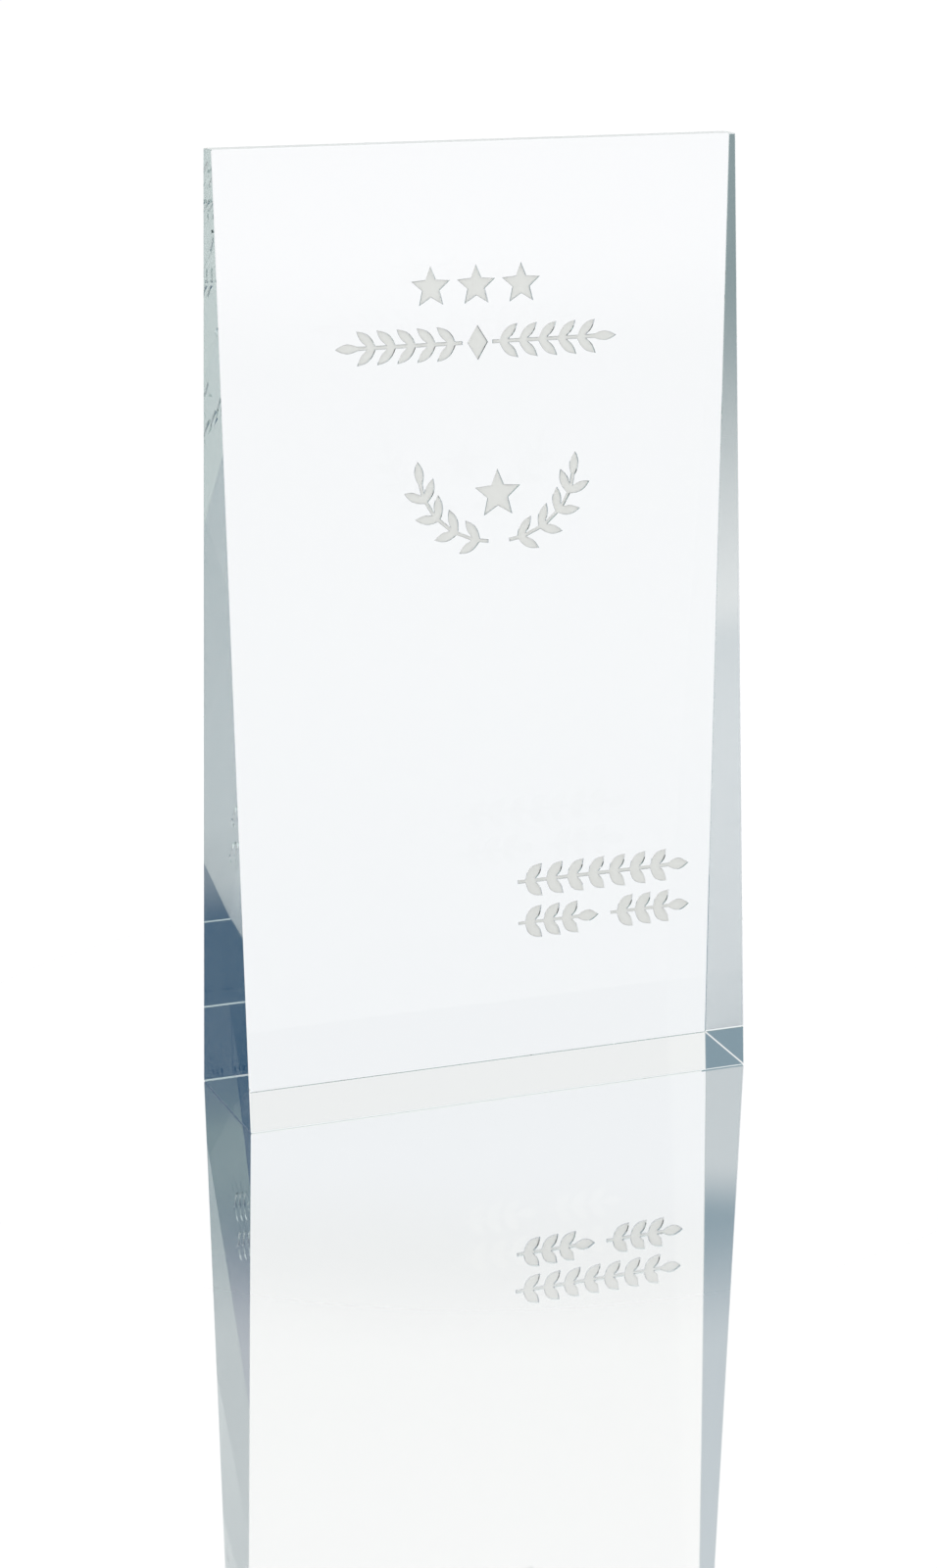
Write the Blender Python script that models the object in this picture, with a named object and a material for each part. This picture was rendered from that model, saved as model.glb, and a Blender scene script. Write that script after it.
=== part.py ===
"""Crystal award: a wedge of clear optical crystal that stands on its own flat base.

The block stands on Z = 0, with its width along X and its broad sloping front towards -Y.
Each mark on the front is a pocket etched into the crystal. The pale fill that sits in a
pocket is a piece of its own, flush with the face.
"""

import math

import bmesh
import bpy
from mathutils import Vector

MM = 0.001

# The block: a wedge with parallel sides and equal slopes on its front and back.
HEIGHT = 203.2 * MM
WIDTH = 115.0 * MM
BASE_DEPTH = 34.0 * MM
TOP_DEPTH = 5.5 * MM
CHAMFER = 0.5 * MM
SLOPE = math.hypot(HEIGHT, (BASE_DEPTH - TOP_DEPTH) / 2)

# The etching: how deep a pocket goes, and the clearance that its fill keeps.
ETCH_DEPTH = 0.9 * MM
FILL_GAP = 0.3 * MM
CUTTER_REACH = 2.0 * MM
LONGEST_MITRE = 4.0

# Places on the front face: across from its centre line, and up the slope from its lower edge.
TITLE_ACROSS = -0.016 * WIDTH
STARS_UP = 0.857 * SLOPE
GARLAND_UP = 0.800 * SLOPE
WREATH_ACROSS = 0.016 * WIDTH
WREATH_UP = 0.667 * SLOPE
DEDICATION_ACROSS = 0.212 * WIDTH
DEDICATION_UP = 0.234 * SLOPE
DEDICATION_PITCH = 0.045 * SLOPE

# Stars
STAR_POINTS = 5
STAR_WAIST = 0.45
STAR_RADIUS = 4.3 * MM
STAR_PITCH = 2 * STAR_RADIUS * math.cos(math.pi / 10) + 6 * FILL_GAP
WREATH_STAR_RADIUS = 5.2 * MM
WREATH_STAR_DROP = 4.6 * MM

# Sprays: a stem with paired leaves and one leaf at its end.
GARLAND_LENGTH = 0.27 * WIDTH
GEM_WIDTH = 4.4 * MM
GEM_HEIGHT = 7.0 * MM
GARLAND_START = GEM_WIDTH / 2 + 4 * FILL_GAP
WREATH_HALF_WIDTH = 17.2 * MM
WREATH_DEPTH = 14.5 * MM
WREATH_FROM = math.radians(-82)
WREATH_TO = math.radians(-6)
DEDICATION_LENGTH = 0.348 * WIDTH
DEDICATION_SPLIT = 3.0 * MM
STEM_HALF_WIDTH = 0.35 * MM
FIRST_LEAF = 0.45
BARE_END = 0.25
LEAF_BASE = 0.40 * MM
LEAF_FULLEST = 0.45
LEAF_STEPS = 3
LEAF_CROTCH = 0.6 * MM
FINE_LEAF = {"length": 4.7 * MM, "width": 1.9 * MM, "lean": math.radians(42), "pitch": 4.5 * MM}
WREATH_LEAF = {"length": 4.7 * MM, "width": 1.9 * MM, "lean": math.radians(42), "pitch": 5.0 * MM}
BOLD_LEAF = {"length": 4.6 * MM, "width": 2.5 * MM, "lean": math.radians(44), "pitch": 4.6 * MM}


def plane_object(name, outline, low, high):
    """A closed prism over an outline in its own XY plane, from Z = low to Z = high."""
    mesh = bpy.data.meshes.new(name)
    shape = bmesh.new()
    corners = [shape.verts.new((x, y, low)) for x, y in outline]
    floor = shape.faces.new(corners)
    raised = bmesh.ops.extrude_face_region(shape, geom=[floor])["geom"]
    lifted = [item for item in raised if isinstance(item, bmesh.types.BMVert)]
    bmesh.ops.translate(shape, verts=lifted, vec=(0, 0, high - low))
    bmesh.ops.recalc_face_normals(shape, faces=shape.faces)
    shape.to_mesh(mesh)
    shape.free()
    made = bpy.data.objects.new(name, mesh)
    bpy.context.scene.collection.objects.link(made)
    return made


def grown(outline, distance):
    """The outline with every side moved outwards by the distance, with mitred corners."""
    moved = []
    for i, corner in enumerate(outline):
        before = (corner - outline[i - 1]).normalized()
        after = (outline[(i + 1) % len(outline)] - corner).normalized()
        outward = Vector((before.y, -before.x)) + Vector((after.y, -after.x))
        reach = 2.0 / max(outward.length, 2.0 / LONGEST_MITRE)
        moved.append(corner + outward.normalized() * distance * reach)
    return moved


def star(radius):
    """A star with one point up, counter-clockwise."""
    outline = []
    for i in range(2 * STAR_POINTS):
        reach = radius if i % 2 == 0 else radius * STAR_WAIST
        angle = math.pi / 2 + i * math.pi / STAR_POINTS
        outline.append(Vector((reach * math.cos(angle), reach * math.sin(angle))))
    return outline


def gem(width, height):
    """An upright lozenge, counter-clockwise."""
    return [
        Vector((0, -height / 2)),
        Vector((width / 2, 0)),
        Vector((0, height / 2)),
        Vector((-width / 2, 0)),
    ]


def leaf_side(base, along, length, half_width, side):
    """One edge of a leaf from its base towards its tip, on the given side of its midrib."""
    across = Vector((-along.y, along.x)) * side
    edge = [base + across * LEAF_BASE]
    for i in range(1, LEAF_STEPS):
        part = i / LEAF_STEPS
        fullness = math.sin(math.pi * part ** (math.log(0.5) / math.log(LEAF_FULLEST)))
        out = LEAF_BASE * (1 - part) + (half_width - LEAF_BASE * (1 - part)) * fullness
        edge.append(base + along * length * part + across * out)
    return edge


def turned(vector, angle):
    """The vector turned counter-clockwise by the angle."""
    cos, sin = math.cos(angle), math.sin(angle)
    return Vector((vector.x * cos - vector.y * sin, vector.x * sin + vector.y * cos))


def spray(spine, run, leaf):
    """A stem with pairs of leaves along it and one at its end, counter-clockwise.

    spine(t) gives the stem's point and its unit direction for t from 0 to 1. As many pairs
    are set out as the stem's run has room for.
    """
    pairs = int(run / leaf["pitch"])
    half_width = leaf["width"] / 2
    flanks = {}
    for side in (1, -1):
        start, heading = spine(0)
        flank = [start + Vector((-heading.y, heading.x)) * STEM_HALF_WIDTH * side]
        for i in range(pairs):
            point, heading = spine((i + FIRST_LEAF) / (pairs + BARE_END))
            root = point + Vector((-heading.y, heading.x)) * STEM_HALF_WIDTH * side
            along = turned(heading, leaf["lean"] * side)
            flank += side_leaf(root, heading, along, leaf["length"], half_width, side)
        flanks[side] = flank
    point, heading = spine(1)
    tip = point + heading * leaf["length"]
    left = leaf_side(point, heading, leaf["length"], half_width, 1)
    right = leaf_side(point, heading, leaf["length"], half_width, -1)
    return flanks[-1] + right + [tip] + left[::-1] + flanks[1][::-1]


def side_leaf(root, heading, along, length, half_width, side):
    """A side leaf's whole edge, in the order met when walking up that side of the stem."""
    outward = Vector((-heading.y, heading.x)) * side
    near = leaf_side(root, along, length, half_width, side)[1:]
    far = leaf_side(root, along, length, half_width, -side)[1:]
    clear = [corner for corner in far if outward.dot(corner - root) > LEAF_CROTCH]
    foot = heading.dot(clear[0] - root) - outward.dot(clear[0] - root)
    first = root - heading * LEAF_BASE
    last = root + heading * max(foot, LEAF_BASE)
    return [first] + near + [root + along * length] + clear[::-1] + [last]


def straight(start, length, leaf):
    """A spray along X that starts there and, with its last leaf, has that length.

    A negative length runs the other way.
    """
    heading = Vector((math.copysign(1, length), 0))
    run = abs(length) - leaf["length"]
    return spray(lambda t: (Vector((start, 0)) + heading * run * t, heading), run, leaf)


def wreath_arm(side, leaf):
    """A spray that rises from the wreath's foot round one side of its ellipse."""

    def spine(t):
        angle = WREATH_FROM + t * (WREATH_TO - WREATH_FROM)
        x = WREATH_HALF_WIDTH * math.cos(angle)
        y = WREATH_DEPTH * math.sin(angle)
        heading = Vector((-WREATH_HALF_WIDTH * math.sin(angle) * side, WREATH_DEPTH * math.cos(angle)))
        return Vector((x * side, y)), heading.normalized()

    run = (WREATH_TO - WREATH_FROM) * (WREATH_HALF_WIDTH + WREATH_DEPTH) / 2
    return spray(spine, run, leaf)


def marks():
    """Each mark's name, its place on the face and its outline about that place."""
    found = []
    for name, step in (("star_left", -1), ("star_centre", 0), ("star_right", 1)):
        found.append((name, TITLE_ACROSS + step * STAR_PITCH, STARS_UP, star(STAR_RADIUS)))
    for name, side in (("garland_left", -1), ("garland_right", 1)):
        arm = straight(side * GARLAND_START, side * (GARLAND_LENGTH - GARLAND_START), FINE_LEAF)
        found.append((name, TITLE_ACROSS, GARLAND_UP, arm))
    found.append(("garland_gem", TITLE_ACROSS, GARLAND_UP, gem(GEM_WIDTH, GEM_HEIGHT)))
    for name, side in (("wreath_left", -1), ("wreath_right", 1)):
        found.append((name, WREATH_ACROSS, WREATH_UP, wreath_arm(side, WREATH_LEAF)))
    star_up = WREATH_UP - WREATH_STAR_DROP
    found.append(("wreath_star", WREATH_ACROSS, star_up, star(WREATH_STAR_RADIUS)))
    half = DEDICATION_LENGTH / 2
    upper = straight(-half, DEDICATION_LENGTH, BOLD_LEAF)
    found.append(("dedication_upper", DEDICATION_ACROSS, DEDICATION_UP, upper))
    short = (DEDICATION_LENGTH - DEDICATION_SPLIT) / 2
    lower_up = DEDICATION_UP - DEDICATION_PITCH
    for name, start in (("dedication_lower_left", -half), ("dedication_lower_right", half - short)):
        found.append((name, DEDICATION_ACROSS, lower_up, straight(start, short, BOLD_LEAF)))
    return found


def counter_clockwise(outline):
    """The outline turned so that it runs counter-clockwise."""
    area = sum(outline[i - 1].cross(corner) for i, corner in enumerate(outline))
    return outline if area > 0 else outline[::-1]


def crystal_block():
    """The wedge, with a fine chamfer along each edge."""
    mesh = bpy.data.meshes.new("crystal_block")
    shape = bmesh.new()
    bmesh.ops.create_cube(shape, size=1)
    for corner in shape.verts:
        depth = TOP_DEPTH if corner.co.z > 0 else BASE_DEPTH
        corner.co = (corner.co.x * WIDTH, corner.co.y * depth, (corner.co.z + 0.5) * HEIGHT)
    edges = list(shape.edges)
    bmesh.ops.bevel(shape, geom=edges, offset=CHAMFER, segments=1, affect="EDGES", profile=0.5)
    shape.to_mesh(mesh)
    shape.free()
    block = bpy.data.objects.new("crystal_block", mesh)
    bpy.context.scene.collection.objects.link(block)
    return block


def front_face():
    """An empty at the middle of the front's lower edge: X across, Y up the slope, Z outwards."""
    face = bpy.data.objects.new("front_face", None)
    face.location = (0, -BASE_DEPTH / 2, 0)
    face.rotation_euler = (math.atan2(HEIGHT, (BASE_DEPTH - TOP_DEPTH) / 2), 0, 0)
    bpy.context.scene.collection.objects.link(face)
    return face


def give_material(item, colour, roughness, transmission, ior):
    """A material of the item's own."""
    material = bpy.data.materials.new(item.name)
    material.use_nodes = True
    shader = material.node_tree.nodes["Principled BSDF"]
    shader.inputs["Base Color"].default_value = (*colour, 1)
    shader.inputs["Roughness"].default_value = roughness
    shader.inputs["Metallic"].default_value = 0
    shader.inputs["Transmission Weight"].default_value = transmission
    shader.inputs["IOR"].default_value = ior
    item.data.materials.append(material)


def main():
    for item in list(bpy.data.objects):
        bpy.data.objects.remove(item)
    block = crystal_block()
    give_material(block, colour=(0.94, 0.975, 0.97), roughness=0.01, transmission=1.0, ior=1.52)
    face = front_face()
    for name, across, up, drawn in marks():
        outline = counter_clockwise(drawn)
        fill = plane_object(name, outline, FILL_GAP - ETCH_DEPTH, 0)
        give_material(fill, colour=(0.68, 0.70, 0.69), roughness=0.6, transmission=0, ior=1.45)
        cutter = plane_object(name + "_pocket", grown(outline, FILL_GAP), -ETCH_DEPTH, CUTTER_REACH)
        cutter.hide_render = True
        cutter.display_type = "WIRE"
        for item in (fill, cutter):
            item.parent = face
            item.location = (across, up, 0)
        etch = block.modifiers.new("etch_" + name, "BOOLEAN")
        etch.operation = "DIFFERENCE"
        etch.object = cutter


main()
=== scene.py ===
"""Crystal award: the finished look of a wedge of optical crystal with etched and filled marks.

The block stands on Z = 0 with its sloping front towards -Y. Every place on the front face is
given across from the face's centre line and up the slope from its lower edge.
"""

import math

import bmesh
import bpy
from mathutils import Euler, Matrix, Vector


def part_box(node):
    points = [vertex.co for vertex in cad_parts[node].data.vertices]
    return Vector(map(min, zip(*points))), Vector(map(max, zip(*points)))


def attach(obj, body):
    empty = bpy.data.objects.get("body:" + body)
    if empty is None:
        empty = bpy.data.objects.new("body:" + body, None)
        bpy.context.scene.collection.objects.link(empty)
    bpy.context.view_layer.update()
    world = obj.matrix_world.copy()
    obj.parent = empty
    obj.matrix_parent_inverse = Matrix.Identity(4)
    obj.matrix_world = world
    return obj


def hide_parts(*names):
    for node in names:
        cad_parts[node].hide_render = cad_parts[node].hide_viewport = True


bl_info = {
    "name": "Crystal award",
    "version": (1, 0, 0),
    "blender": (4, 5, 0),
    "location": "3D view > Sidebar > Award",
    "description": "Builds a wedge of polished crystal with etched, filled marks, and its stage",
    "category": "Object",
}

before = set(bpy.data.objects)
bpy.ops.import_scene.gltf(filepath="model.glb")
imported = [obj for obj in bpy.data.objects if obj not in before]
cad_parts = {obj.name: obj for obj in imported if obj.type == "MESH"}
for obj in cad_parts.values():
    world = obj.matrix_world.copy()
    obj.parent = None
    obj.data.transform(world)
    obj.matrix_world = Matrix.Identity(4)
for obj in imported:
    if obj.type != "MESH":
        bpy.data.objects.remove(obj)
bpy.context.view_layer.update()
BLOCK_LOW, BLOCK_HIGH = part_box("crystal_block")
WIDTH = BLOCK_HIGH.x - BLOCK_LOW.x
HEIGHT = BLOCK_HIGH.z - BLOCK_LOW.z
STARS = ("star_left", "star_centre", "star_right", "wreath_star")
MM = 0.001

# A spray's leaves: how far along a leaf is widest, and how far a side leaf keeps off the stem.
LEAF_FULLEST = 0.45
LEAF_CROTCH = 0.35 * MM

# Along a stem, in spaces between pairs: the bare stem before the first pair, and how much
# longer the stem is than its pairs need.
FIRST_PAIR = 0.45
SPARE_STEM = 0.25

# The wreath's arms: a part of an ellipse, from its foot to its top.
WREATH_HALF_WIDTH = 17.2 * MM
WREATH_HALF_HEIGHT = 14.5 * MM
WREATH_FOOT = math.radians(-82)
WREATH_TOP = math.radians(-6)

# Meshes: how far a pocket's cutter stands out of the face, and what counts as the same height.
CUTTER_REACH = 2 * MM
SAME_HEIGHT = 1e-6

# The speckle's two noises: their detail, and how much finer the second is.
COARSE_DETAIL = 4
FINE_DETAIL = 2
FINER = 7.3

# Zones of the surround. Each eases in from its first value to its second. The values are parts
# of the unit vector towards a place: its X, or its Z given as a height in degrees.
# Painted reflections: where the dim colours lie that only light bounced in the crystal meets, painting its
# dark edges and the band at its foot.
PAINTED_REFLECTION_LEFT_X = (-0.355, -0.375)
PAINTED_RIM_LEFT_X = (-0.20, -0.25)
PAINTED_RIM_HEIGHT = (18, 17)
OVERHEAD_HEIGHT = (44, 50)
PAINTED_FOOT_BAND_HEIGHT = (17, 19)
BELOW_Z = (0.02, -0.02)
MANY_BOUNCES = 5
WHITE = (1, 1, 1)

SENSOR_WIDTH = 36


# ---------------------------------------------------------------- settings


class CrystalSettings(bpy.types.PropertyGroup):
    """Sizes and finish of the crystal block."""

    base_depth: bpy.props.FloatProperty(
        name="Base depth", description="Depth of the block at its foot", default=34 * MM, unit="LENGTH"
    )
    top_depth: bpy.props.FloatProperty(
        name="Top depth", description="Depth of the block at its top", default=5.5 * MM, unit="LENGTH"
    )
    chamfer: bpy.props.FloatProperty(
        name="Chamfer", description="Width of the polished edge", default=0.22 * MM, unit="LENGTH"
    )
    colour: bpy.props.FloatVectorProperty(
        name="Colour", description="Tint at the surface", default=(0.957, 0.963, 0.975), subtype="COLOR"
    )
    depth_colour: bpy.props.FloatVectorProperty(
        name="Depth colour",
        description="Tint gained inside",
        default=(0.62, 0.80, 0.78),
        subtype="COLOR",
    )
    density: bpy.props.FloatProperty(
        name="Density", description="How fast the inside tints", default=2.2, min=0
    )
    index: bpy.props.FloatProperty(name="Index", description="Index of refraction", default=1.52, min=1)
    haze: bpy.props.FloatProperty(
        name="Haze", description="Roughness where the polish is worst", default=0.012, min=0, max=1
    )


class MarkSettings(bpy.types.PropertyGroup):
    """Sizes and finish of the etched marks."""

    etch_depth: bpy.props.FloatProperty(
        name="Etch depth", description="Depth of a pocket", default=0.5 * MM, unit="LENGTH"
    )
    recess: bpy.props.FloatProperty(
        name="Recess",
        description="How far a fill stays below the face",
        default=0.3 * MM,
        unit="LENGTH",
    )
    clearance: bpy.props.FloatProperty(
        name="Clearance",
        description="Air between a fill and its pocket",
        default=0.04 * MM,
        unit="LENGTH",
    )
    soft_edge: bpy.props.FloatProperty(
        name="Soft edge", description="Rounding of a fill's rim", default=0.12 * MM, unit="LENGTH"
    )
    stem_half_width: bpy.props.FloatProperty(
        name="Stem half width", description="Half the width of a stem", default=0.35 * MM, unit="LENGTH"
    )
    leaf_base: bpy.props.FloatProperty(
        name="Leaf base",
        description="Half the width of a leaf's foot",
        default=0.40 * MM,
        unit="LENGTH",
    )
    leaf_steps: bpy.props.IntProperty(
        name="Leaf steps", description="Points along each edge of a leaf", default=9, min=3
    )
    colour: bpy.props.FloatVectorProperty(
        name="Colour", description="Colour of the fill", default=(0.56, 0.585, 0.58), subtype="COLOR"
    )
    grain_tones: bpy.props.FloatVectorProperty(
        name="Grain tones",
        description="Darkest and palest grain, as parts of the colour",
        default=(0.90, 1.08),
        size=2,
    )
    roughness: bpy.props.FloatVectorProperty(
        name="Roughness", description="Least and most roughness of the fill", default=(0.5, 0.75), size=2
    )
    grain_strength: bpy.props.FloatProperty(
        name="Grain strength", description="Strength of the grain's relief", default=0.35, min=0
    )
    grain_height: bpy.props.FloatProperty(
        name="Grain height", description="Height of the grain's relief", default=0.05 * MM, unit="LENGTH"
    )


class StageSettings(bpy.types.PropertyGroup):
    """The floor, the light and the camera."""

    floor_size: bpy.props.FloatProperty(
        name="Floor size", description="Side of the floor", default=12.0, unit="LENGTH"
    )
    floor_gap: bpy.props.FloatProperty(
        name="Floor gap", description="Air under the block", default=0.05 * MM, unit="LENGTH"
    )
    floor_colour: bpy.props.FloatVectorProperty(
        name="Floor colour", description="Colour of the floor", default=(0.985, 0.988, 0.99), subtype="COLOR"
    )
    floor_wear: bpy.props.FloatProperty(
        name="Floor wear", description="Roughness where the floor is worn", default=0.03, min=0, max=1
    )
    azimuth: bpy.props.FloatProperty(
        name="Azimuth",
        description="Camera's turn to the left",
        default=math.radians(21.34),
        subtype="ANGLE",
    )
    elevation: bpy.props.FloatProperty(
        name="Elevation", description="Camera's look down", default=math.radians(15.59), subtype="ANGLE"
    )
    distance: bpy.props.FloatProperty(
        name="Distance", description="From the camera to the aim point", default=0.7236, unit="LENGTH"
    )
    aim_up: bpy.props.FloatProperty(
        name="Aim height", description="Height of the aim point", default=0.0664, unit="LENGTH"
    )
    aim_across: bpy.props.FloatProperty(
        name="Aim across", description="Aim point left or right", default=-1.6 * MM, unit="LENGTH"
    )
    lens: bpy.props.FloatProperty(name="Lens", description="Focal length in millimetres", default=77.04)
    fade_start: bpy.props.FloatProperty(
        name="Fade start",
        description="How far out the floor starts to fade",
        default=0.15,
        unit="LENGTH",
    )
    fade_end: bpy.props.FloatProperty(
        name="Fade end", description="How far out the floor is gone", default=0.9, unit="LENGTH"
    )
    polish_start: bpy.props.FloatProperty(
        name="Polish start",
        description="How far out the floor starts to dull",
        default=0.085,
        unit="LENGTH",
    )
    polish_end: bpy.props.FloatProperty(
        name="Polish end",
        description="How far out the floor is at its dullest",
        default=0.15,
        unit="LENGTH",
    )
    mirror_near: bpy.props.FloatProperty(
        name="Mirror, near",
        description="How much the floor mirrors at the block",
        default=0.95,
        min=0,
        max=1,
    )
    mirror_far: bpy.props.FloatProperty(
        name="Mirror, far", description="How much the dull floor mirrors", default=0.60, min=0, max=1
    )
    mirror_in_edges: bpy.props.FloatProperty(
        name="Mirror, in edges",
        description="The same, as the crystal's edges show it",
        default=0.31,
        min=0,
        max=1,
    )
    # Painted reflection: a dim colour near the horizon that only light bounced twice in the crystal meets,
    # drawing its dark edges.
    painted_reflection_low: bpy.props.FloatVectorProperty(
        name="Room, low",
        description="Dim studio near the horizon",
        default=(0.01, 0.06, 0.145),
        subtype="COLOR",
    )
    # Painted reflection: a pale colour overhead that only light bounced twice in the crystal meets.
    painted_reflection_high: bpy.props.FloatVectorProperty(
        name="Room, high",
        description="Dim studio overhead",
        default=(0.76, 0.84, 0.83),
        subtype="COLOR",
    )
    # Painted reflection: the dim colour that light meets after many bounces inside the crystal.
    painted_reflection_within: bpy.props.FloatVectorProperty(
        name="Room, within",
        description="What is left after many bounces",
        default=(0.44, 0.50, 0.49),
        subtype="COLOR",
    )
    # Painted reflection: a dim colour at the left that only light bounced twice in the crystal meets.
    painted_reflection_left: bpy.props.FloatVectorProperty(
        name="Room, left",
        description="Dim studio at the left",
        default=(0.24, 0.33, 0.38),
        subtype="COLOR",
    )
    # Painted reflection: a dim rim at the left that only light bounced twice in the crystal meets.
    painted_rim_reflection: bpy.props.FloatVectorProperty(
        name="Rim, left",
        description="The sweep's dim rim at the left",
        default=(0.60, 0.64, 0.65),
        subtype="COLOR",
    )
    # Painted reflection: dim ground below the horizon that only bounced light meets.
    painted_ground_reflection: bpy.props.FloatVectorProperty(
        name="Past the floor",
        description="Dim ground past the floor",
        default=(0.22, 0.29, 0.30),
        subtype="COLOR",
    )
    # Painted reflection: the band in the crystal's foot, met only by light that has passed through the
    # crystal and bounced once.
    painted_foot_reflection: bpy.props.FloatVectorProperty(
        name="Foot band",
        description="What the crystal's foot mirrors",
        default=(0.965, 0.96, 0.94),
        subtype="COLOR",
    )
    soft_light: bpy.props.FloatVectorProperty(
        name="Soft light",
        description="Light on the floor and the fills",
        default=(1.19, 1.175, 1.15),
        subtype="COLOR",
    )
    brightness: bpy.props.FloatProperty(
        name="Brightness", description="Strength of the white surround", default=1.03, min=0
    )


# ---------------------------------------------------------------- outlines of the marks


def star(points=5, waist=0.45):
    """A star of radius 1 with one point up, counter-clockwise."""
    outline = []
    for i in range(2 * points):
        reach = 1 if i % 2 == 0 else waist
        angle = math.pi / 2 + i * math.pi / points
        outline.append(Vector((reach * math.cos(angle), reach * math.sin(angle))))
    return outline


def lozenge(half_width=2.2, half_height=3.5):
    """An upright lozenge, counter-clockwise."""
    return [
        Vector((0, -half_height)),
        Vector((half_width, 0)),
        Vector((0, half_height)),
        Vector((-half_width, 0)),
    ]


def across(heading, side):
    """The unit vector square to the heading, on its left for side 1 and its right for -1."""
    return Vector((-heading.y, heading.x)) * side


def leaf_edge(root, along, leaf, side, marks):
    """One edge of a leaf from its foot towards its tip."""
    edge = []
    for i in range(marks.leaf_steps):
        part = i / marks.leaf_steps
        foot = marks.leaf_base * (1 - part)
        fullness = math.sin(math.pi * part**leaf["fullest"])
        out = foot + (leaf["width"] / 2 - foot) * fullness
        edge.append(root + along * leaf["length"] * part + across(along, side) * out)
    return edge


def side_leaf(root, heading, leaf, side, marks):
    """A side leaf's whole edge, in the order met when walking up that side of the stem."""
    turn = Matrix.Rotation(leaf["lean"] * side, 2)
    along = turn @ heading
    outward = across(heading, side)
    near = leaf_edge(root, along, leaf, side, marks)[1:]
    far = leaf_edge(root, along, leaf, -side, marks)[1:]
    clear = [corner for corner in far if outward.dot(corner - root) > leaf["crotch"]]
    foot = heading.dot(clear[0] - root) - outward.dot(clear[0] - root)
    first = root - heading * marks.leaf_base
    last = root + heading * max(foot, marks.leaf_base)
    return [first] + near + [root + along * leaf["length"]] + clear[::-1] + [last]


def spray(spine, run, leaf, marks):
    """A stem with pairs of leaves along it and one at its end, counter-clockwise."""
    pairs = int(run / leaf["pitch"])
    flanks = {}
    for side in (1, -1):
        start, heading = spine(0)
        flank = [start + across(heading, side) * marks.stem_half_width]
        for i in range(pairs):
            point, heading = spine((i + FIRST_PAIR) / (pairs + SPARE_STEM))
            root = point + across(heading, side) * marks.stem_half_width
            flank += side_leaf(root, heading, leaf, side, marks)
        flanks[side] = flank
    point, heading = spine(1)
    left = leaf_edge(point, heading, leaf, 1, marks)
    right = leaf_edge(point, heading, leaf, -1, marks)
    tip = point + heading * leaf["length"]
    return flanks[-1] + right + [tip] + left[::-1] + flanks[1][::-1]


def leaf_kind(length, width, lean, pitch):
    """The measures of one kind of leaf, from sizes in millimetres and its lean in degrees."""
    return {
        "length": length * MM,
        "width": width * MM,
        "lean": math.radians(lean),
        "pitch": pitch * MM,
        "fullest": math.log(0.5) / math.log(LEAF_FULLEST),
        "crotch": LEAF_CROTCH,
    }


FINE_LEAF = leaf_kind(length=4.7, width=1.9, lean=42, pitch=4.5)
WREATH_LEAF = leaf_kind(length=4.7, width=1.9, lean=42, pitch=5.0)
BOLD_LEAF = leaf_kind(length=4.6, width=2.5, lean=44, pitch=4.6)


def straight_spray(node, side, leaf, marks):
    """A spray along X as long as its node, with its tip on the given side."""
    low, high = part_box(node)
    run = high.x - low.x - leaf["length"]
    heading = Vector((side, 0))
    return spray(lambda t: (heading * run * t, heading), run, leaf, marks)


def wreath_arm(side, marks):
    """A spray that rises from the wreath's foot round one side of its ellipse."""
    width, height = WREATH_HALF_WIDTH, WREATH_HALF_HEIGHT
    turn = WREATH_TOP - WREATH_FOOT

    def spine(t):
        angle = WREATH_FOOT + t * turn
        heading = Vector((-width * math.sin(angle) * side, height * math.cos(angle)))
        place = Vector((width * math.cos(angle) * side, height * math.sin(angle)))
        return place, heading.normalized()

    return spray(spine, turn * (width + height) / 2, WREATH_LEAF, marks)


def outline_of(node, marks):
    """The node's outline about the middle of its own box, in the face's plane."""
    side = -1 if node.endswith("left") else 1
    if node in STARS:
        drawn = star()
    elif node == "garland_gem":
        drawn = lozenge()
    elif node.startswith("garland"):
        drawn = straight_spray(node, side, FINE_LEAF, marks)
    elif node.startswith("wreath"):
        drawn = wreath_arm(side, marks)
    else:
        drawn = straight_spray(node, 1, BOLD_LEAF, marks)
    area = sum(drawn[i - 1].cross(corner) for i, corner in enumerate(drawn))
    if area < 0:
        drawn.reverse()
    low_x, high_x = min(p.x for p in drawn), max(p.x for p in drawn)
    low_y, high_y = min(p.y for p in drawn), max(p.y for p in drawn)
    low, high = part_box(node)
    scale = (high.x - low.x) / (high_x - low_x)
    middle = Vector((low_x + high_x, low_y + high_y)) / 2
    return [(corner - middle) * scale for corner in drawn]


def grown(outline, distance, longest_mitre=4.0):
    """The outline with every side moved outwards by the distance, with mitred corners that
    reach at most the longest mitre times the distance."""
    moved = []
    for i, corner in enumerate(outline):
        before = (corner - outline[i - 1]).normalized()
        after = (outline[(i + 1) % len(outline)] - corner).normalized()
        outward = across(before, -1) + across(after, -1)
        reach = 2 / max(outward.length, 2 / longest_mitre)
        moved.append(corner + outward.normalized() * distance * reach)
    return moved


# ---------------------------------------------------------------- meshes


def placed(node, crystal):
    """The matrix that puts a mark's outline where its node lies on the front face.

    An outline has X across the face, Y up its slope and Z outwards.
    """
    low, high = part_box(node)
    lean = math.atan2(HEIGHT, (crystal.base_depth - crystal.top_depth) / 2)
    up = (low.z + high.z) / 2 / math.sin(lean)
    face = Matrix.Translation((0, -crystal.base_depth / 2, 0)) @ Matrix.Rotation(lean, 4, "X")
    return face @ Matrix.Translation(((low.x + high.x) / 2, up, 0))


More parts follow.
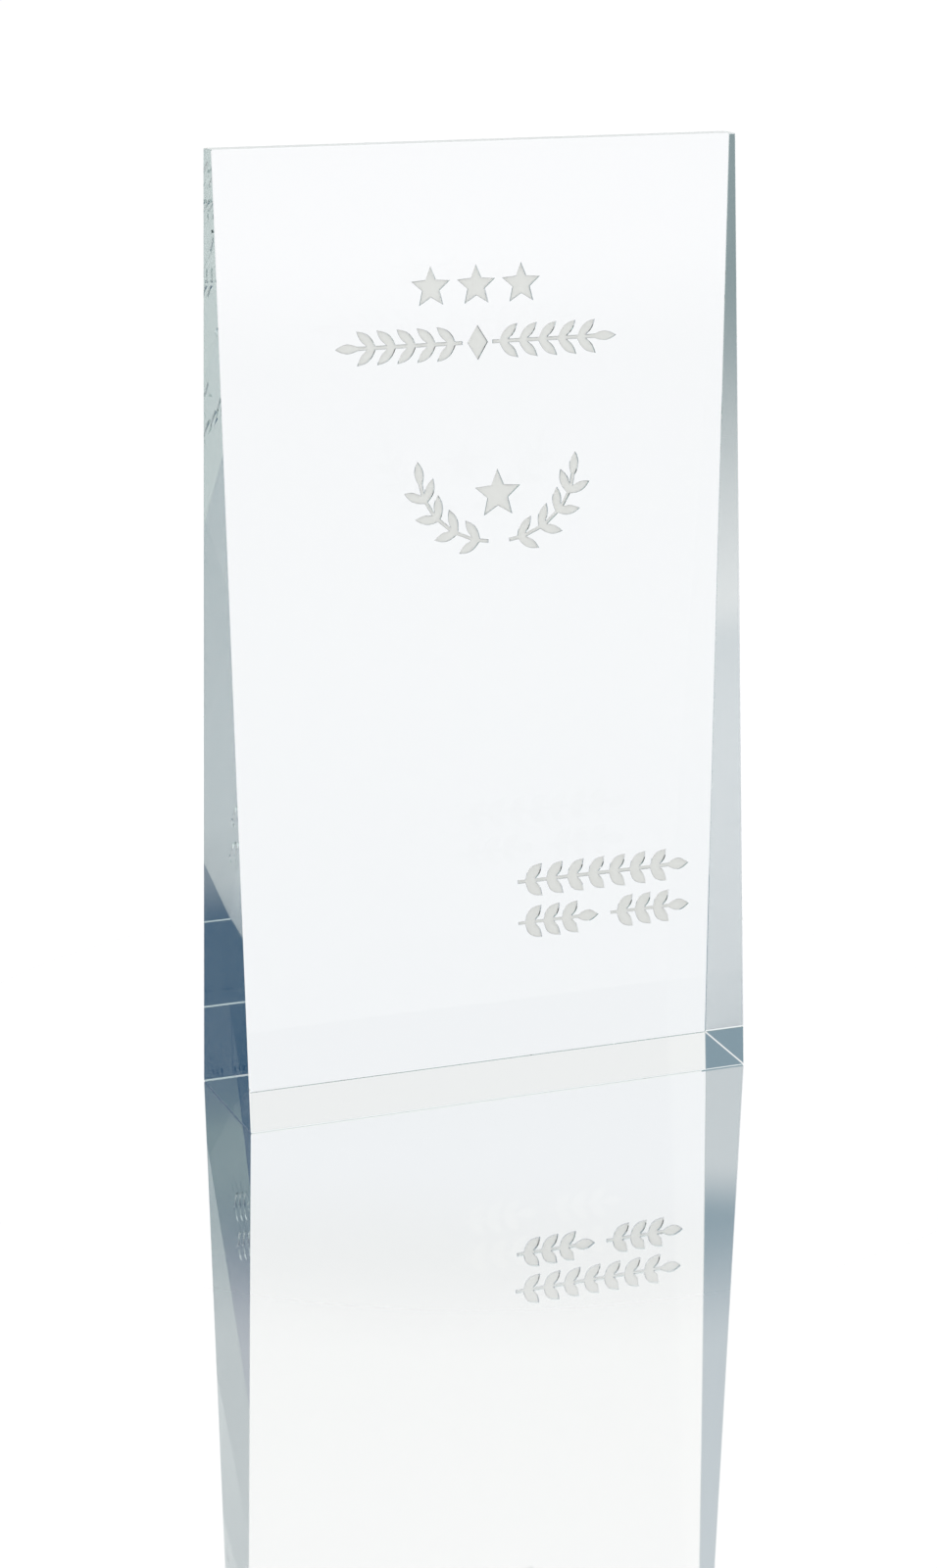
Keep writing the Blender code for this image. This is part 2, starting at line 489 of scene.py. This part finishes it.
def prism(outline, low, high):
    """A bmesh of the outline raised from Z = low to Z = high."""
    shape = bmesh.new()
    floor = shape.faces.new([shape.verts.new((x, y, low)) for x, y in outline])
    raised = bmesh.ops.extrude_face_region(shape, geom=[floor])["geom"]
    lifted = [item for item in raised if isinstance(item, bmesh.types.BMVert)]
    bmesh.ops.translate(shape, verts=lifted, vec=(0, 0, high - low))
    bmesh.ops.recalc_face_normals(shape, faces=shape.faces)
    return shape


def object_from(shape, name, matrix=None):
    """An object at the origin that holds the bmesh, moved by the matrix first."""
    if matrix is not None:
        bmesh.ops.transform(shape, matrix=matrix, verts=shape.verts)
    mesh = bpy.data.meshes.new(name)
    shape.to_mesh(mesh)
    shape.free()
    made = bpy.data.objects.new(name, mesh)
    bpy.context.scene.collection.objects.link(made)
    return made


def bevel(shape, edges, width, segments):
    """Bevels the edges of a bmesh."""
    bmesh.ops.bevel(
        shape,
        geom=edges,
        offset=width,
        segments=segments,
        profile=0.5,
        affect="EDGES",
        material=-1,
    )


def make_block(crystal):
    """The wedge, with a polished chamfer along each edge."""
    shape = bmesh.new()
    bmesh.ops.create_cube(shape, size=1)
    for corner in shape.verts:
        depth = crystal.top_depth if corner.co.z > 0 else crystal.base_depth
        corner.co = (corner.co.x * WIDTH, corner.co.y * depth, (corner.co.z + 0.5) * HEIGHT)
    bevel(shape, list(shape.edges), crystal.chamfer, 1)
    return object_from(shape, "crystal")


def etch(block, cutters):
    """Cuts the pockets and keeps the result as the block's own mesh."""
    for cutter in cutters:
        cut = block.modifiers.new(cutter.name, "BOOLEAN")
        cut.operation = "DIFFERENCE"
        cut.object = cutter
    graph = bpy.context.evaluated_depsgraph_get()
    etched = bpy.data.meshes.new_from_object(block.evaluated_get(graph))
    if not etched.polygons:
        raise RuntimeError("a pocket's cut removed the whole block")
    block.modifiers.clear()
    block.data = etched
    for cutter in cutters:
        bpy.data.objects.remove(cutter)


def make_fill(node, crystal, marks):
    """One pale fill with a softened rim, in its pocket."""
    outline = outline_of(node, marks)
    shape = prism(outline, marks.clearance - marks.etch_depth, -marks.recess)
    level = -marks.recess - SAME_HEIGHT
    rim = [edge for edge in shape.edges if all(end.co.z > level for end in edge.verts)]
    bevel(shape, rim, marks.soft_edge, 2)
    fill = object_from(shape, node + "_fill", placed(node, crystal))
    fill.data.materials.append(fill_material(marks))
    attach(fill, "root")
    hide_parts(node)
    return fill


# ---------------------------------------------------------------- materials


def speckle_group():
    """Fine grain: a mask from 0 to 1 and a height, both varying over the surface."""
    name = "speckle"
    if name in bpy.data.node_groups:
        return bpy.data.node_groups[name]
    group = bpy.data.node_groups.new(name, "ShaderNodeTree")
    group.interface.new_socket("Scale", in_out="INPUT", socket_type="NodeSocketFloat")
    group.interface.new_socket("Contrast", in_out="INPUT", socket_type="NodeSocketFloat")
    group.interface.new_socket("Mask", in_out="OUTPUT", socket_type="NodeSocketFloat")
    group.interface.new_socket("Height", in_out="OUTPUT", socket_type="NodeSocketFloat")
    nodes, links = group.nodes, group.links
    given = nodes.new("NodeGroupInput")
    place = nodes.new("ShaderNodeTexCoord")
    coarse = nodes.new("ShaderNodeTexNoise")
    coarse.inputs["Detail"].default_value = COARSE_DETAIL
    fine = nodes.new("ShaderNodeTexNoise")
    fine.inputs["Detail"].default_value = FINE_DETAIL
    finer = nodes.new("ShaderNodeMath")
    finer.operation = "MULTIPLY"
    finer.inputs[1].default_value = FINER
    spread = nodes.new("ShaderNodeMath")
    spread.operation = "MULTIPLY_ADD"
    spread.use_clamp = True
    centred = nodes.new("ShaderNodeMath")
    centred.operation = "SUBTRACT"
    centred.inputs[1].default_value = 0.5
    given_out = nodes.new("NodeGroupOutput")
    links.new(place.outputs["Object"], coarse.inputs["Vector"])
    links.new(place.outputs["Object"], fine.inputs["Vector"])
    links.new(given.outputs["Scale"], coarse.inputs["Scale"])
    links.new(given.outputs["Scale"], finer.inputs[0])
    links.new(finer.outputs[0], fine.inputs["Scale"])
    links.new(coarse.outputs["Fac"], centred.inputs[0])
    links.new(centred.outputs[0], spread.inputs[0])
    links.new(given.outputs["Contrast"], spread.inputs[1])
    spread.inputs[2].default_value = 0.5
    links.new(spread.outputs[0], given_out.inputs["Mask"])
    links.new(fine.outputs["Fac"], given_out.inputs["Height"])
    return group


def new_material(name):
    """An empty material with a Principled shader, and that shader."""
    material = bpy.data.materials.new(name)
    material.use_nodes = True
    return material, material.node_tree.nodes["Principled BSDF"]


def speckle(material, scale, contrast):
    """A speckle node in the material, with its own grain."""
    node = material.node_tree.nodes.new("ShaderNodeGroup")
    node.node_tree = speckle_group()
    node.inputs["Scale"].default_value = scale
    node.inputs["Contrast"].default_value = contrast
    return node


def ramp(material, source, socket, low, high):
    """Feeds a shader socket with a value that runs from low to high as the source does."""
    nodes, links = material.node_tree.nodes, material.node_tree.links
    spread = nodes.new("ShaderNodeMapRange")
    spread.inputs["To Min"].default_value = low
    spread.inputs["To Max"].default_value = high
    links.new(source, spread.inputs["Value"])
    links.new(spread.outputs["Result"], socket)


def bump(material, source, shader, strength, distance):
    """Feeds the shader's normal with a bump from the source."""
    nodes, links = material.node_tree.nodes, material.node_tree.links
    relief = nodes.new("ShaderNodeBump")
    relief.inputs["Strength"].default_value = strength
    relief.inputs["Distance"].default_value = distance
    links.new(source, relief.inputs["Height"])
    links.new(relief.outputs["Normal"], shader.inputs["Normal"])


def maths(nodes, links, operation, first, second):
    """The result of an operation on two values, each of them a socket or a number."""
    made = nodes.new("ShaderNodeMath")
    made.operation = operation
    for place, value in zip(made.inputs, (first, second)):
        if isinstance(value, bpy.types.NodeSocket):
            links.new(value, place)
        else:
            place.default_value = value
    return made.outputs[0]


def blended(nodes, links, factor, first, second):
    """A colour that goes from the first to the second as the factor goes from 0 to 1."""
    blend = nodes.new("ShaderNodeMix")
    blend.data_type = "RGBA"
    links.new(factor, blend.inputs["Factor"])
    for name, value in (("A", first), ("B", second)):
        if isinstance(value, bpy.types.NodeSocket):
            links.new(value, blend.inputs[name])
        else:
            blend.inputs[name].default_value = (*value, 1)
    return blend.outputs["Result"]


def slope(nodes, links, source, start, end):
    """A value that eases from 0 to 1 as the source goes from the start to the end."""
    eased = nodes.new("ShaderNodeMapRange")
    eased.interpolation_type = "SMOOTHSTEP"
    eased.inputs["From Min"].default_value = min(start, end)
    eased.inputs["From Max"].default_value = max(start, end)
    eased.inputs["To Min"].default_value = 0 if start < end else 1
    eased.inputs["To Max"].default_value = 1 if start < end else 0
    links.new(source, eased.inputs["Value"])
    return eased.outputs["Result"]


def after(nodes, links, path, kind, times):
    """1 for light that has met surfaces of a kind more than so many times, and otherwise 0."""
    return maths(nodes, links, "GREATER_THAN", path.outputs[kind + " Depth"], times + 0.5)


def by_height(nodes, links, up, heights):
    """A value that eases from 0 to 1 between two heights in the sky, given in degrees."""
    start, end = (math.sin(math.radians(height)) for height in heights)
    return slope(nodes, links, up, start, end)


def crystal_material(crystal):
    """Polished optical crystal with a faint haze from handling and a cool tint in its depth."""
    material, shader = new_material("polished_crystal")
    nodes, links = material.node_tree.nodes, material.node_tree.links
    shader.inputs["Base Color"].default_value = (*crystal.colour, 1)
    shader.inputs["Transmission Weight"].default_value = 1
    shader.inputs["IOR"].default_value = crystal.index
    haze = speckle(material, scale=28, contrast=1.6)
    ramp(material, haze.outputs["Mask"], shader.inputs["Roughness"], 0, crystal.haze)
    depth = nodes.new("ShaderNodeVolumeAbsorption")
    depth.inputs["Color"].default_value = (*crystal.depth_colour, 1)
    depth.inputs["Density"].default_value = crystal.density
    links.new(depth.outputs["Volume"], nodes["Material Output"].inputs["Volume"])
    return material


def fill_material(marks):
    """Pale frosted fill with a fine sandy grain."""
    if "etch_fill" in bpy.data.materials:
        return bpy.data.materials["etch_fill"]
    material, shader = new_material("etch_fill")
    nodes, links = material.node_tree.nodes, material.node_tree.links
    grain = speckle(material, scale=900, contrast=2.4)
    tone = nodes.new("ShaderNodeMix")
    tone.data_type = "RGBA"
    for name, factor in zip(("A", "B"), marks.grain_tones):
        tone.inputs[name].default_value = (*(factor * channel for channel in marks.colour), 1)
    links.new(grain.outputs["Mask"], tone.inputs["Factor"])
    links.new(tone.outputs["Result"], shader.inputs["Base Color"])
    ramp(material, grain.outputs["Mask"], shader.inputs["Roughness"], *marks.roughness)
    bump(material, grain.outputs["Height"], shader, marks.grain_strength, marks.grain_height)
    return material


def floor_material(stage):
    """Plain pale sheet that mirrors best round the block and fades away towards its rim.

    It mirrors less in what the crystal shows of it. Straight through the block, without a
    bounce on the way, it isn't there, so that the white surround shows instead.
    """
    material, shader = new_material("pale_floor")
    nodes, links = material.node_tree.nodes, material.node_tree.links
    shader.inputs["Base Color"].default_value = (*stage.floor_colour, 1)
    place = nodes.new("ShaderNodeTexCoord")
    reach = nodes.new("ShaderNodeVectorMath")
    reach.operation = "LENGTH"
    links.new(place.outputs["Object"], reach.inputs[0])
    path = nodes.new("ShaderNodeLightPath")
    duller = slope(nodes, links, reach.outputs["Value"], stage.polish_start, stage.polish_end)
    duller = maths(nodes, links, "MULTIPLY", duller, path.outputs["Is Camera Ray"])
    through = after(nodes, links, path, "Transmission", 0)
    bounced = after(nodes, links, path, "Glossy", 0)
    polish = nodes.new("ShaderNodeMapRange")
    polish.inputs["To Min"].default_value = stage.mirror_near
    polish.inputs["To Max"].default_value = stage.mirror_far
    links.new(duller, polish.inputs["Value"])
    mirror = nodes.new("ShaderNodeMix")
    mirror.inputs["B"].default_value = stage.mirror_in_edges
    links.new(through, mirror.inputs["Factor"])
    links.new(polish.outputs["Result"], mirror.inputs["A"])
    links.new(mirror.outputs["Result"], shader.inputs["Metallic"])
    wear = speckle(material, scale=3, contrast=1.2)
    ramp(material, wear.outputs["Mask"], shader.inputs["Roughness"], 0, stage.floor_wear)
    faded = slope(nodes, links, reach.outputs["Value"], stage.fade_end, stage.fade_start)
    direct = maths(nodes, links, "SUBTRACT", 1, through)
    shown = maths(nodes, links, "MAXIMUM", direct, bounced)
    links.new(maths(nodes, links, "MULTIPLY", faded, shown), shader.inputs["Alpha"])
    return material


# ---------------------------------------------------------------- operators


class AWARD_OT_crystal(bpy.types.Operator):
    """Build the crystal wedge and cut its etched pockets"""

    bl_idname = "award.crystal"
    bl_label = "Crystal block"

    def execute(self, context):
        crystal, marks = context.scene.award_crystal, context.scene.award_marks
        block = make_block(crystal)
        cutters = []
        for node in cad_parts:
            if node == "crystal_block":
                continue
            outline = grown(outline_of(node, marks), marks.clearance)
            pocket = prism(outline, -marks.etch_depth, CUTTER_REACH)
            cutters.append(object_from(pocket, node + "_pocket", placed(node, crystal)))
        etch(block, cutters)
        block.data.materials.clear()
        block.data.materials.append(crystal_material(crystal))
        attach(block, "root")
        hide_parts("crystal_block")
        return {"FINISHED"}


class FillOperator:
    """What the operators that fill pockets share."""

    bl_options = {"UNDO"}
    nodes = ()

    def execute(self, context):
        for node in self.nodes:
            make_fill(node, context.scene.award_crystal, context.scene.award_marks)
        return {"FINISHED"}


class AWARD_OT_stars(FillOperator, bpy.types.Operator):
    """Fill the row of stars"""

    bl_idname = "award.stars"
    bl_label = "Stars"
    nodes = ("star_left", "star_centre", "star_right")


class AWARD_OT_garland(FillOperator, bpy.types.Operator):
    """Fill the garland under the stars"""

    bl_idname = "award.garland"
    bl_label = "Garland"
    nodes = ("garland_left", "garland_gem", "garland_right")


class AWARD_OT_wreath(FillOperator, bpy.types.Operator):
    """Fill the wreath and the star in it"""

    bl_idname = "award.wreath"
    bl_label = "Wreath"
    nodes = ("wreath_left", "wreath_star", "wreath_right")


class AWARD_OT_dedication(FillOperator, bpy.types.Operator):
    """Fill the leaf sprays at the lower right"""

    bl_idname = "award.dedication"
    bl_label = "Dedication sprays"
    nodes = ("dedication_upper", "dedication_lower_left", "dedication_lower_right")


def make_floor(stage):
    """The floor, a sheet just under the block."""
    shape = bmesh.new()
    bmesh.ops.create_grid(shape, x_segments=1, y_segments=1, size=stage.floor_size / 2)
    floor = object_from(shape, "floor", Matrix.Translation((0, 0, -stage.floor_gap)))
    floor.data.materials.append(floor_material(stage))


def make_camera(stage):
    """The camera, turned left and looking down at the aim point."""
    camera = bpy.data.cameras.new("camera")
    camera.lens = stage.lens
    camera.sensor_width = SENSOR_WIDTH
    holder = bpy.data.objects.new("camera", camera)
    turn = Euler((math.pi / 2 - stage.elevation, 0, -stage.azimuth))
    back = turn.to_matrix() @ Vector((0, 0, stage.distance))
    holder.location = Vector((stage.aim_across, 0, stage.aim_up)) + back
    holder.rotation_euler = turn
    bpy.context.scene.collection.objects.link(holder)
    bpy.context.scene.camera = holder


def make_surround(stage):
    """A white surround, as from a lit paper sweep.

    Light that has bounced about inside the crystal meets painted reflections instead: a dim studio that
    the camera never sees, chosen by where the light heads and how often it has bounced. These painted
    reflections draw the crystal's dark edges and the band at its foot. Light that a matt surface has
    scattered meets an even, soft light.
    """
    world = bpy.data.worlds.new("surround")
    bpy.context.scene.world = world
    world.use_nodes = True
    nodes, links = world.node_tree.nodes, world.node_tree.links
    light = nodes["Background"]
    light.inputs["Strength"].default_value = stage.brightness
    path = nodes.new("ShaderNodeLightPath")
    place = nodes.new("ShaderNodeTexCoord")
    heading = nodes.new("ShaderNodeSeparateXYZ")
    links.new(place.outputs["Generated"], heading.inputs[0])
    side, up = heading.outputs["X"], heading.outputs["Z"]
    spread = after(nodes, links, path, "Diffuse", 0)
    bounced = after(nodes, links, path, "Glossy", 0)
    twice = after(nodes, links, path, "Glossy", 1)
    often = after(nodes, links, path, "Glossy", MANY_BOUNCES)
    through = after(nodes, links, path, "Transmission", 0)

    # Painted reflections: a dim studio, which only light that has bounced twice meets.
    left = slope(nodes, links, side, *PAINTED_REFLECTION_LEFT_X)
    painted_reflection = blended(nodes, links, left, stage.painted_reflection_low, stage.painted_reflection_left)
    level = by_height(nodes, links, up, PAINTED_RIM_HEIGHT)
    rim = maths(nodes, links, "MULTIPLY", level, slope(nodes, links, side, *PAINTED_RIM_LEFT_X))
    painted_reflection = blended(nodes, links, rim, painted_reflection, stage.painted_rim_reflection)
    overhead = by_height(nodes, links, up, OVERHEAD_HEIGHT)
    painted_reflection = blended(nodes, links, overhead, painted_reflection, stage.painted_reflection_high)
    painted_reflection = blended(nodes, links, often, painted_reflection, stage.painted_reflection_within)

    # The white sweep, with a painted reflection of a band at the foot and painted dim ground past the floor,
    # both met only by bounced light.
    raised = maths(nodes, links, "MULTIPLY", by_height(nodes, links, up, PAINTED_FOOT_BAND_HEIGHT), through)
    once = blended(nodes, links, raised, WHITE, stage.painted_foot_reflection)
    seen = blended(nodes, links, bounced, WHITE, once)
    seen = blended(nodes, links, twice, seen, painted_reflection)
    below = maths(nodes, links, "MULTIPLY", slope(nodes, links, up, *BELOW_Z), bounced)
    seen = blended(nodes, links, below, seen, stage.painted_ground_reflection)
    links.new(blended(nodes, links, spread, seen, stage.soft_light), light.inputs["Color"])


class AWARD_OT_stage(bpy.types.Operator):
    """Set the floor, the surround and the camera"""

    bl_idname = "award.stage"
    bl_label = "Stage"

    def execute(self, context):
        stage = context.scene.award_stage
        make_floor(stage)
        make_surround(stage)
        make_camera(stage)
        context.scene.view_settings.view_transform = "Standard"
        paths = context.scene.cycles
        paths.max_bounces = 48
        paths.glossy_bounces = 40
        paths.transmission_bounces = 40
        return {"FINISHED"}


class AWARD_PT_build(bpy.types.Panel):
    """Lists the award's pieces and its stage in the sidebar."""

    bl_idname = "AWARD_PT_build"
    bl_label = "Crystal award"
    bl_space_type = "VIEW_3D"
    bl_region_type = "UI"
    bl_category = "Award"

    def draw(self, context):
        for step in STEPS:
            self.layout.operator(step.bl_idname)


STEPS = (
    AWARD_OT_crystal,
    AWARD_OT_stars,
    AWARD_OT_garland,
    AWARD_OT_wreath,
    AWARD_OT_dedication,
    AWARD_OT_stage,
)
CLASSES = (CrystalSettings, MarkSettings, StageSettings, *STEPS, AWARD_PT_build)


def register():
    """Adds the settings, the operators and the panel."""
    for item in CLASSES:
        bpy.utils.register_class(item)
    bpy.types.Scene.award_crystal = bpy.props.PointerProperty(type=CrystalSettings)
    bpy.types.Scene.award_marks = bpy.props.PointerProperty(type=MarkSettings)
    bpy.types.Scene.award_stage = bpy.props.PointerProperty(type=StageSettings)


def unregister():
    """Takes them away again."""
    del bpy.types.Scene.award_stage
    del bpy.types.Scene.award_marks
    del bpy.types.Scene.award_crystal
    for item in reversed(CLASSES):
        bpy.utils.unregister_class(item)


def main():
    """Builds the award and its stage."""
    register()
    for step in STEPS:
        family, name = step.bl_idname.split(".")
        getattr(getattr(bpy.ops, family), name)()


if __name__ == "__main__":
    main()
